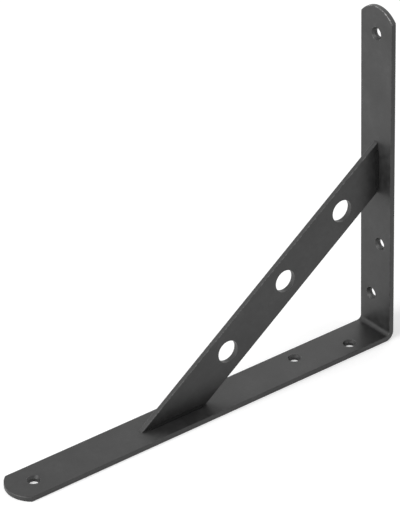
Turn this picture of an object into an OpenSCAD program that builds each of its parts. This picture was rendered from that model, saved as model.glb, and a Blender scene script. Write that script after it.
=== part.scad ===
// Corner bracket welded from flat bar: one bar bent to an L, with a diagonal brace on edge between its arms.
// The lying arm runs along X and the upright arm stands at its +X end. Y runs across the bar.
// The origin is the middle of the footprint, on the plane that the lying arm rests on.

/* [Bar] */
// Width of the bent bar
bar_w = 25; // [22:0.5:30]
// Thickness of the bent bar
bar_t = 3; // [2.5:0.5:4]
// Radius of the softened long edges of both bars
edge_r = 0.5; // [0.2:0.1:0.8]

/* [Arms] */
// Length of the lying arm, from the back of the upright arm to its tip
base_len = 250; // [235:5:300]
// Height of the upright arm, from the underside of the lying arm to its tip
wall_len = 200; // [180:5:250]
// Inside radius of the bend
bend_in_r = 2.5; // [1:0.5:4]
// How far the arch radius of a tip is above half the bar's width
tip_extra_r = 3.5; // [1:0.5:8]

/* [Screw holes] */
// Bore of every screw hole
screw_d = 5.2; // [4:0.1:5.5]
// Width of the countersink where it opens on the inner face
sink_d = 7.6; // [6.6:0.1:9]
// Distance from an arm's tip to its single hole
tip_hole_in = 15.5; // [12:0.5:20]
// Distance from the heel to the nearer hole of the lying arm's staggered pair
base_pair_near = 25; // [20:0.5:30]
// Distance from the heel to the nearer hole of the upright arm's staggered pair
wall_pair_near = 23.5; // [20:0.5:30]
// Distance from the heel to the further hole of either pair
pair_far = 58; // [45:0.5:62]
// How far each hole of the lying arm's pair lies beside the middle line
base_pair_side = 4; // [2:0.5:6]
// How far each hole of the upright arm's pair lies beside the middle line
wall_pair_side = 3.5; // [2:0.5:6]

/* [Brace] */
// Width of the brace bar
brace_w = 25; // [20:0.5:28]
// Thickness of the brace bar
brace_t = 3; // [2.5:0.5:4]
// Where the brace's outer edge meets the lying arm, from the back of the upright arm
brace_foot = 166.5; // [155:0.5:172]
// Where the brace's outer edge meets the upright arm, from the underside
brace_head = 120.5; // [112:0.5:130]
// Diameter of the large holes
brace_hole_d = 13; // [8:0.5:15]
// Distance along the outer edge from the foot to the first large hole
brace_hole_first = 63.5; // [56:0.5:68]
// Distance from one large hole to the next
brace_hole_pitch = 49; // [40:0.5:50]

/* [Welds] */
// Leg of the fillet beads on both sides of the brace
weld_leg = 1.2; // [1:0.1:2.5]
// Distance from the brace's pointed corner to the bead
weld_tip_gap = 4.5; // [4:0.5:8]
// Distance from the brace's inner corner to the bead
weld_inner_gap = 1.5; // [1:0.5:5]

/* [Hidden] */
$fn = 96;
coat = [0.18, 0.18, 0.18];
cut = 1; // how far a cutting shape reaches past the metal
bend_out_r = bend_in_r + bar_t;
tip_r = bar_w / 2 + tip_extra_r;
sink_deep = (sink_d - screw_d) / 2; // a 90 degree countersink
brace_holes = 3;
brace_run = brace_foot - bar_t;
brace_rise = brace_head - bar_t;
brace_len = norm([brace_run, brace_rise]);
brace_angle = atan2(brace_rise, brace_run);
brace_foot_len = brace_w / sin(brace_angle);
brace_head_len = brace_w / cos(brace_angle);
weld_sunk = weld_leg / 2; // depth of the bead's round axis below both faces
weld_r = norm([weld_leg + weld_sunk, weld_sunk]);

// Section of a flat bar with softened corners: thickness from 0 along X, width centred on Y
module bar_section(thick, wide) {
    translate([0, -wide / 2 + edge_r]) square([thick, wide - 2 * edge_r]);
    translate([edge_r, -wide / 2]) square([thick - 2 * edge_r, wide]);
    for (x = [edge_r, thick - edge_r], y = [-1, 1])
        translate([x, y * (wide / 2 - edge_r)]) circle(r = edge_r);
}

// Disc with a softened rim that arches the tip of an arm
module tip_disc() {
    rotate_extrude() {
        square([tip_r - edge_r, bar_t]);
        translate([0, edge_r]) square([tip_r, bar_t - 2 * edge_r]);
        for (z = [edge_r, bar_t - edge_r])
            translate([tip_r - edge_r, z]) circle(r = edge_r);
    }
}

// Countersunk screw hole through a flat arm, sunk from above
module screw_hole() {
    translate([0, 0, -cut]) cylinder(h = bar_t + 2 * cut, d = screw_d);
    translate([0, 0, bar_t - sink_deep])
        cylinder(h = sink_deep + cut, d1 = screw_d, d2 = sink_d + 2 * cut);
}

// One arm along +X from the heel, its outer face on Z 0 and its inner face up. near and side place its pair
module arm(reach, near, side) {
    difference() {
        intersection() {
            translate([bend_out_r, 0, 0]) rotate([90, 0, 90])
                linear_extrude(reach - bend_out_r) rotate(90) mirror([0, 1]) bar_section(bar_t, bar_w);
            union() {
                translate([reach - tip_r, 0, 0]) tip_disc();
                translate([0, -bar_w, -cut]) cube([reach - tip_r, 2 * bar_w, bar_t + 2 * cut]);
            }
        }
        translate([reach - tip_hole_in, 0, 0]) screw_hole();
        translate([near, side, 0]) screw_hole();
        translate([pair_far, -side, 0]) screw_hole();
    }
}

// Moves a piece drawn from the heel, arms towards -X and +Z, into the part's frame
module from_heel() {
    translate([base_len / 2, 0, 0]) children();
}

// The quarter turn that joins the arms
module bend() {
    translate([-bend_out_r, 0, bend_out_r]) rotate([90, 0, 0]) rotate([0, 0, -90])
        rotate_extrude(angle = 90) translate([bend_in_r, 0]) bar_section(bar_t, bar_w);
}

module bent_bar() {
    color(coat) from_heel() {
        mirror([1, 0, 0]) arm(base_len, base_pair_near, -base_pair_side);
        bend();
        rotate([0, -90, 0]) arm(wall_len, wall_pair_near, wall_pair_side);
    }
}

// Puts children on the brace's outer edge, X up along it and Z out of the triangle
module on_brace() {
    translate([-brace_foot, 0, bar_t]) rotate([0, -brace_angle, 0]) children();
}

module brace() {
    color(coat) from_heel() difference() {
        intersection() {
            on_brace() translate([-brace_w, 0, -brace_w]) rotate([90, 0, 90])
                linear_extrude(brace_len + 2 * brace_w) translate([-brace_t / 2, brace_w / 2])
                    bar_section(brace_t, brace_w);
            translate([-base_len, -bar_w, bar_t]) cube([base_len - bar_t, 2 * bar_w, wall_len]);
        }
        on_brace() for (i = [0 : brace_holes - 1])
            translate([brace_hole_first + i * brace_hole_pitch, 0, -brace_w / 2])
                rotate([90, 0, 0]) cylinder(h = brace_t + 2 * cut, d = brace_hole_d, center = true);
    }
}

// Fillet bead along +X in the corner between the faces Y 0 and Z 0, its ends rounded off
module bead(run) {
    intersection() {
        translate([weld_r, -weld_sunk, -weld_sunk]) {
            rotate([0, 90, 0]) cylinder(h = run - 2 * weld_r, r = weld_r);
            sphere(r = weld_r);
            translate([run - 2 * weld_r, 0, 0]) sphere(r = weld_r);
        }
        cube([run, 2 * weld_r, 2 * weld_r]);
    }
}

// Bead between the brace and the lying arm. side is -1 on the -Y face and 1 on the +Y face
module base_bead(side) {
    color(coat) from_heel() translate([-brace_foot + weld_tip_gap, side * brace_t / 2, bar_t])
        mirror([0, side < 0 ? 1 : 0, 0]) bead(brace_foot_len - weld_tip_gap - weld_inner_gap);
}

// Bead between the brace and the upright arm
module wall_bead(side) {
    color(coat) from_heel() translate([-bar_t, side * brace_t / 2, brace_head - weld_tip_gap])
        mirror([0, side < 0 ? 1 : 0, 0]) rotate([0, 90, 0]) mirror([0, 0, 1])
            bead(brace_head_len - weld_tip_gap - weld_inner_gap);
}

module weld_base_near() {
    base_bead(-1);
}

module weld_base_far() {
    base_bead(1);
}

module weld_wall_near() {
    wall_bead(-1);
}

module weld_wall_far() {
    wall_bead(1);
}

bent_bar();
brace();
weld_base_near();
weld_base_far();
weld_wall_near();
weld_wall_far();
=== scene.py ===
"""Looks of the corner bracket: matte black paint on bent flat bar, its brace and its weld beads.

The bracket stands on its lying arm on a pale studio floor. Lengths are in metres and angles in degrees.
"""

import math
from collections import namedtuple

import bpy
from mathutils import Matrix, Vector


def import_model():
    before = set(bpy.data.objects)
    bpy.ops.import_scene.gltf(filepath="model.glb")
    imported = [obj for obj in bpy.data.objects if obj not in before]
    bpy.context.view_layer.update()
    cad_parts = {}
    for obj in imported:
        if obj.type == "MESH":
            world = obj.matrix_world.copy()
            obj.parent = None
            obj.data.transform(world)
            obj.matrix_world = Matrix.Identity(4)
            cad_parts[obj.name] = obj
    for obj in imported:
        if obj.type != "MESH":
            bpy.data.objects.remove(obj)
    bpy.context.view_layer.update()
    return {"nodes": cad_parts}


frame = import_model()

# Camera, from the straight edges of the bracket in the photograph, which is taller than wide
PHOTO_HEIGHT_PX = 507
FOCAL_PX = 2636.8
SENSOR_MM = 36
AIM = Vector((0.00199, 0, 0.0959))
CAMERA_DISTANCE = 1.37
CAMERA_AZIMUTH = -36.38
CAMERA_ELEVATION = 30.23
CAMERA_ROLL = -1.97

# Floor, whose glow is what lifts it to white where it is seen, and grows from near to far
FLOOR_SIZE = 2.6
FLOOR_GREY = 0.8
NEAR_GLOW = 0.34
FAR_GLOW = 0.46
GLOW_DISTANCES = (0.35, 1.5)

# World
WORLD_LIGHT = 0.54
WHITE = 1

# Lamps
LAMP_SIZE = 1.2
LAMP_DISTANCE = 1.6
Lamp = namedtuple("Lamp", "name azimuth elevation watts")
LAMPS = (
    Lamp("left", azimuth=-90, elevation=20, watts=28),
    Lamp("right_high", azimuth=60, elevation=54, watts=3),
    Lamp("back_right", azimuth=116, elevation=28, watts=2.2),
)

# Paints. The coat's second grey shows where the paint is worn, and is partly a painted highlight along the
# rounded edges; relief is the height of the piece's own marks
Coat = namedtuple("Coat", "grey bare_grey roughness ior relief")
BAR_COAT = Coat(grey=0.011, bare_grey=0.3, roughness=0.45, ior=1.54, relief=0.00005)
BRACE_COAT = BAR_COAT._replace(bare_grey=0.065)
# The beads' grey is darker than the bar's: painted shade in the joints between the arms and the brace
BEAD_COAT_WITH_PAINTED_SHADE = Coat(grey=0.005, bare_grey=0.005, roughness=0.9, ior=1.3, relief=0.0002)

# Surface of every paint: orange peel and grain in the relief, mottle and cloud in the grey
PEEL_SIZE = 0.0012
PEEL_DEPTH = 0.000008
GRAIN_SIZE = 0.00035
GRAIN_DEPTH = 0.000003
GRAIN_ROUGHNESS = 0.04
MOTTLE_SIZE = 0.003
MOTTLE_SHADES = (0.6, 1.4)
MOTTLE_ROUGHNESS = 0.03
CLOUD_SIZE = 0.02
CLOUD_SHADES = (0.5, 1.5)
PLAIN_DETAIL = 2
FINE_DETAIL = 3

# Values between which a mask or a noise goes from one end of its effect to the other
MASK_SPAN = (0, 1)
NOISE_SPAN = (0.3, 0.7)

# Worn edges, partly a painted highlight of the rounded edges, found where a rounded normal agrees less with
# the face's own than on the flats
EDGE_ROUND = 0.0004
EDGE_SAMPLES = 4
EDGE_AGREEMENT = (0.8, 0.99)
WEAR_AND_HIGHLIGHT_SPAN = (0.45, 0.65)

# Cut sides: the brace's long sides and holes, and the arched tip of the upright arm. Their lighter grey
# along the shear ridges is partly a painted highlight, given to the upright arm's tip and not to the lying
# arm's
CUT_GREY_AND_HIGHLIGHT = 0.025
CUT_SPAN = (0, 0.5)
CUT_LEAN = (0.3, 0.6)
RIDGE_SIZE = 0.0006
RIDGE_STRETCH = 0.1
WALL_TIP_FROM = 0.1932

# Chips on the rims of cut sides, between the lean of the cut side and that of the flat face
CHIP_SIZE = 0.0015
CHIP_SPAN = (0.45, 0.6)
CHIP_LEAST = 0.1
RIM_LEAN_FROM = (0.1, 0.3)
RIM_LEAN_TO = (0.9, 0.98)

# Ripples of the weld beads. A wave texture of scale 1 turns by WAVE_RATE radians in a metre
RIPPLE_PITCH = 0.0009
RIPPLE_DISTORTION = 1.5
RIPPLE_DETAIL = 1
WAVE_RATE = 20


class Nodes:
    """Short calls to add the nodes of one node tree and link them."""

    def __init__(self, tree):
        self.tree = tree
        tree.nodes.clear()

    def add(self, kind, inputs=None, **settings):
        """Adds a node. A value in inputs is set on its socket, and an output socket is linked to it."""
        node = self.tree.nodes.new(kind)
        for name, value in settings.items():
            setattr(node, name, value)
        for name, value in (inputs or {}).items():
            if isinstance(value, bpy.types.NodeSocket):
                self.tree.links.new(value, node.inputs[name])
            else:
                node.inputs[name].default_value = value
        return node

    def geometry(self, name):
        return self.add("ShaderNodeNewGeometry").outputs[name]

    def noise(self, where, size, detail=PLAIN_DETAIL):
        """Noise from 0 to 1 whose cells are about size metres across."""
        inputs = {"Vector": where, "Scale": 1 / size, "Detail": detail}
        return self.add("ShaderNodeTexNoise", inputs).outputs["Fac"]

    def spread(self, value, span, first, last):
        """Goes from first to last while the value goes through the span."""
        start, stop = span
        inputs = {"Value": value, "From Min": start, "From Max": stop, "To Min": first, "To Max": last}
        return self.add("ShaderNodeMapRange", inputs).outputs["Result"]

    def math(self, operation, first, second):
        return self.add("ShaderNodeMath", {0: first, 1: second}, operation=operation).outputs["Value"]

    def product(self, first, second):
        return self.math("MULTIPLY", first, second)

    def vector_math(self, operation, first, second, output):
        return self.add("ShaderNodeVectorMath", {0: first, 1: second}, operation=operation).outputs[output]

    def bump(self, height, depth, normal):
        inputs = {"Height": height, "Distance": depth, "Normal": normal}
        return self.add("ShaderNodeBump", inputs).outputs["Normal"]


def grey(level):
    """Opaque grey as a colour."""
    return (level, level, level, 1)


# What a piece shows under its paint: a height, and masks of its cut sides and of their rims, if it has them
Marks = namedtuple("Marks", "height cut rim", defaults=(None, None))


def cut_side(nodes, axis):
    """Masks of the faces that run along the axis, and of the rounded rims beside them."""
    lean = nodes.vector_math("DOT_PRODUCT", nodes.geometry("True Normal"), axis, "Value")
    lean = nodes.math("ABSOLUTE", lean, 0)
    side = nodes.spread(lean, CUT_LEAN, 1, 0)
    rim = nodes.product(nodes.spread(lean, RIM_LEAN_FROM, 0, 1), nodes.spread(lean, RIM_LEAN_TO, 1, 0))
    return side, rim


def ridges(nodes, where, axis):
    """Fine shear marks that run along the axis."""
    stretch = [RIDGE_STRETCH if part else 1 for part in axis]
    squeezed = nodes.vector_math("MULTIPLY", where, stretch, "Vector")
    return nodes.noise(squeezed, RIDGE_SIZE, FINE_DETAIL)


def brace_marks(nodes, where):
    """The brace is sheared and punched through its thickness, along Y."""
    along_y = (0, 1, 0)
    side, rim = cut_side(nodes, along_y)
    return Marks(ridges(nodes, where, along_y), side, rim)


def bar_marks(nodes, where):
    """The bent bar gets the shear's marks and their lighter grey, partly a painted highlight, at the
    upright arm's tip only, along X through its thickness.
    """
    along_x = (1, 0, 0)
    height = nodes.add("ShaderNodeSeparateXYZ", {"Vector": where}).outputs["Z"]
    tip = nodes.math("GREATER_THAN", height, WALL_TIP_FROM)
    side, rim = cut_side(nodes, along_x)
    marks = nodes.product(tip, ridges(nodes, where, along_x))
    return Marks(marks, nodes.product(tip, side), nodes.product(tip, rim))


def bead_marks(direction):
    """Ripples across a weld bead that runs along the direction."""
    def made(nodes, where):
        inputs = {
            "Vector": where,
            "Scale": 2 * math.pi / (WAVE_RATE * RIPPLE_PITCH),
            "Distortion": RIPPLE_DISTORTION,
            "Detail": RIPPLE_DETAIL,
        }
        wave = nodes.add("ShaderNodeTexWave", inputs, bands_direction=direction)
        return Marks(wave.outputs["Fac"])
    return made


def wear_and_edge_highlight(nodes, where, peel, rounded, rim):
    """Mask of lighter paint: patches along the edges, worn and partly a painted highlight of the rounded
    edges, and chips on the rims of cut sides.
    """
    agreement = nodes.vector_math("DOT_PRODUCT", rounded, nodes.geometry("True Normal"), "Value")
    edge = nodes.spread(agreement, EDGE_AGREEMENT, 1, 0)
    worn_and_highlit = nodes.product(edge, nodes.spread(peel, WEAR_AND_HIGHLIGHT_SPAN, 0, 1))
    if rim:
        chips = nodes.spread(nodes.noise(where, CHIP_SIZE), CHIP_SPAN, CHIP_LEAST, 1)
        worn_and_highlit = nodes.math("MAXIMUM", worn_and_highlit, nodes.product(rim, chips))
    return worn_and_highlit


def paint_shade(nodes, where, mottle, coat, marks, worn_and_highlit):
    """Grey of the paint, lighter along the ridges of cut sides, partly a painted highlight there, and
    lighter where it is worn, partly a painted highlight along the edges.
    """
    cloud = nodes.noise(where, CLOUD_SIZE)
    uneven = nodes.product(
        nodes.spread(mottle, NOISE_SPAN, *MOTTLE_SHADES),
        nodes.spread(cloud, NOISE_SPAN, *CLOUD_SHADES),
    )
    shade = nodes.product(uneven, coat.grey)
    if marks.cut:
        # Lighter grey along the ridges of cut sides: shear marks, partly a painted highlight
        shade = nodes.spread(nodes.product(marks.cut, marks.height), CUT_SPAN, shade, CUT_GREY_AND_HIGHLIGHT)
    # Worn paint is lighter, and along the rounded edges this lighter grey is partly a painted highlight
    return nodes.spread(worn_and_highlit, MASK_SPAN, shade, coat.bare_grey)


def paint_roughness(nodes, mottle, grain, coat):
    """Roughness that varies a little with the mottle and the grain."""
    varied = nodes.math(
        "ADD",
        nodes.spread(mottle, NOISE_SPAN, -MOTTLE_ROUGHNESS, MOTTLE_ROUGHNESS),
        nodes.spread(grain, NOISE_SPAN, -GRAIN_ROUGHNESS, GRAIN_ROUGHNESS),
    )
    return nodes.math("ADD", varied, coat.roughness)


def black_paint(name, coat, marks_of):
    """Matte black paint over the marks of one piece, with orange peel, fine grain and lighter edges, worn
    and partly a painted highlight.
    """
    material = bpy.data.materials.new(name)
    material.use_nodes = True
    nodes = Nodes(material.node_tree)
    where = nodes.add("ShaderNodeTexCoord").outputs["Object"]
    peel = nodes.noise(where, PEEL_SIZE)
    grain = nodes.noise(where, GRAIN_SIZE, FINE_DETAIL)
    mottle = nodes.noise(where, MOTTLE_SIZE, FINE_DETAIL)
    marks = marks_of(nodes, where)
    rounded = nodes.add("ShaderNodeBevel", {"Radius": EDGE_ROUND}, samples=EDGE_SAMPLES).outputs["Normal"]

    worn_and_highlit = wear_and_edge_highlight(nodes, where, peel, rounded, marks.rim)
    shade = paint_shade(nodes, where, mottle, coat, marks, worn_and_highlit)
    colour = nodes.add("ShaderNodeCombineColor", {"Red": shade, "Green": shade, "Blue": shade})
    height = nodes.product(marks.height, marks.cut) if marks.cut else marks.height
    normal = nodes.bump(height, coat.relief, rounded)
    normal = nodes.bump(peel, PEEL_DEPTH, normal)
    normal = nodes.bump(grain, GRAIN_DEPTH, normal)
    paint = nodes.add("ShaderNodeBsdfPrincipled", {
        "Base Color": colour.outputs["Color"],
        "Roughness": paint_roughness(nodes, mottle, grain, coat),
        "Normal": normal,
        "IOR": coat.ior,
    })
    nodes.add("ShaderNodeOutputMaterial", {"Surface": paint.outputs["BSDF"]})
    return material


def seen_directly(nodes):
    """1 for what the camera sees straight, mirrored or through glass, and 0 for light on the object."""
    path = nodes.add("ShaderNodeLightPath").outputs
    seen = nodes.math("MAXIMUM", path["Is Camera Ray"], path["Is Glossy Ray"])
    return nodes.math("MAXIMUM", seen, path["Is Transmission Ray"])


def floor_material():
    """Pale matt floor. What is seen of it is lifted to white, and the shadow stays.

    The glow grows away from the bracket, where the lamps reach the floor less.
    """
    material = bpy.data.materials.new("floor")
    material.use_nodes = True
    nodes = Nodes(material.node_tree)
    matt = nodes.add("ShaderNodeBsdfDiffuse", {"Color": grey(FLOOR_GREY)})
    place = nodes.geometry("Position")
    away = nodes.add("ShaderNodeVectorMath", {0: place}, operation="LENGTH").outputs["Value"]
    glow = nodes.product(seen_directly(nodes), nodes.spread(away, GLOW_DISTANCES, NEAR_GLOW, FAR_GLOW))
    light = nodes.add("ShaderNodeEmission", {"Color": grey(WHITE), "Strength": glow})
    both = nodes.add("ShaderNodeAddShader", {0: matt.outputs["BSDF"], 1: light.outputs["Emission"]})
    nodes.add("ShaderNodeOutputMaterial", {"Surface": both.outputs["Shader"]})
    return material


def floor():
    """Square floor that the bracket stands on the middle of."""
    half = FLOOR_SIZE / 2
    corners = [(-half, -half, 0), (half, -half, 0), (half, half, 0), (-half, half, 0)]
    mesh = bpy.data.meshes.new("floor")
    mesh.from_pydata(corners, [], [(0, 1, 2, 3)])
    mesh.materials.append(floor_material())
    obj = bpy.data.objects.new("floor", mesh)
    bpy.context.scene.collection.objects.link(obj)


def world():
    """Even light from all round, seen as white."""
    made = bpy.data.worlds.new("studio")
    bpy.context.scene.world = made
    made.use_nodes = True
    nodes = Nodes(made.node_tree)
    strength = nodes.spread(seen_directly(nodes), MASK_SPAN, WORLD_LIGHT, WHITE)
    light = nodes.add("ShaderNodeBackground", {"Color": grey(WHITE), "Strength": strength})
    nodes.add("ShaderNodeOutputWorld", {"Surface": light.outputs["Background"]})


def direction(azimuth, elevation):
    """Unit vector from the bracket towards a point of the studio. Azimuth 0 is -Y and 90 is +X."""
    a = math.radians(azimuth)
    e = math.radians(elevation)
    return Vector((math.sin(a) * math.cos(e), -math.cos(a) * math.cos(e), math.sin(e)))


def softbox(name, azimuth, elevation, watts):
    """Square area lamp that faces the middle of the bracket."""
    lamp = bpy.data.lights.new(name, "AREA")
    lamp.size = LAMP_SIZE
    lamp.energy = watts
    obj = bpy.data.objects.new(name, lamp)
    obj.visible_camera = False
    towards = direction(azimuth, elevation)
    obj.location = AIM + towards * LAMP_DISTANCE
    obj.rotation_euler = towards.to_track_quat("Z", "Y").to_euler()
    bpy.context.scene.collection.objects.link(obj)


def camera():
    """Camera at the photograph's place, with its turn about the line of sight."""
    back = direction(CAMERA_AZIMUTH, CAMERA_ELEVATION)
    level = Vector((-back.y, back.x, 0)).normalized()
    upright = back.cross(level)
    roll = math.radians(CAMERA_ROLL)
    right = level * math.cos(roll) + upright * math.sin(roll)
    up = upright * math.cos(roll) - level * math.sin(roll)
    turn = Matrix((right, up, back)).transposed()
    data = bpy.data.cameras.new("camera")
    data.sensor_width = SENSOR_MM
    data.lens = FOCAL_PX * SENSOR_MM / PHOTO_HEIGHT_PX
    obj = bpy.data.objects.new("camera", data)
    obj.matrix_world = Matrix.Translation(AIM + back * CAMERA_DISTANCE) @ turn.to_4x4()
    bpy.context.scene.collection.objects.link(obj)
    bpy.context.scene.camera = obj


def dress(node, material):
    """Gives a node of the frame its material."""
    node.data.materials.clear()
    node.data.materials.append(material)


dress(frame["nodes"]["bent_bar"], black_paint("painted_bar", BAR_COAT, bar_marks))
dress(frame["nodes"]["brace"], black_paint("painted_brace", BRACE_COAT, brace_marks))
along_base = black_paint("painted_bead_along_base", BEAD_COAT_WITH_PAINTED_SHADE, bead_marks("X"))
up_wall = black_paint("painted_bead_up_wall", BEAD_COAT_WITH_PAINTED_SHADE, bead_marks("Z"))
for side in ("near", "far"):
    dress(frame["nodes"]["weld_base_" + side], along_base)
    dress(frame["nodes"]["weld_wall_" + side], up_wall)

floor()
world()
for lamp in LAMPS:
    softbox(*lamp)
camera()

bpy.context.scene.view_settings.view_transform = "Standard"
